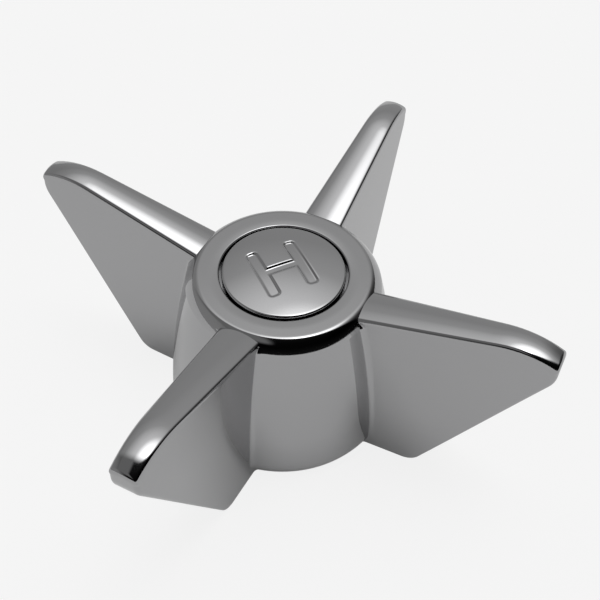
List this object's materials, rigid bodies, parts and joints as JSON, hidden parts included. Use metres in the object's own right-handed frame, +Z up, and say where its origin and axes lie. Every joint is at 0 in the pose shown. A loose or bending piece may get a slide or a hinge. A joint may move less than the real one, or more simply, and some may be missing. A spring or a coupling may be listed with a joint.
{
  "type": "tap handle",
  "caption": "Chrome tap handle with a bell-shaped hub, winged blades rising to their tips, a snap-in index button and a serrated spindle socket.",
  "frame": {"origin": "on the spindle axis, at the level of the hub's base and the blades' feet", "axes": "+Z up along the spindle axis, +X and +Y along two neighbouring blades"},
  "size_m": [0.076, 0.076, 0.0297],
  "materials": {
    "chrome": "polished chrome plate on a zinc casting",
    "button_chrome": "polished chrome plate",
    "screw_brass": "plain turned brass"
  },
  "bodies": {
    "root": {"handle_body": "chrome", "index_button": "button_chrome", "fixing_screw": "screw_brass"}
  },
  "joints": []
}
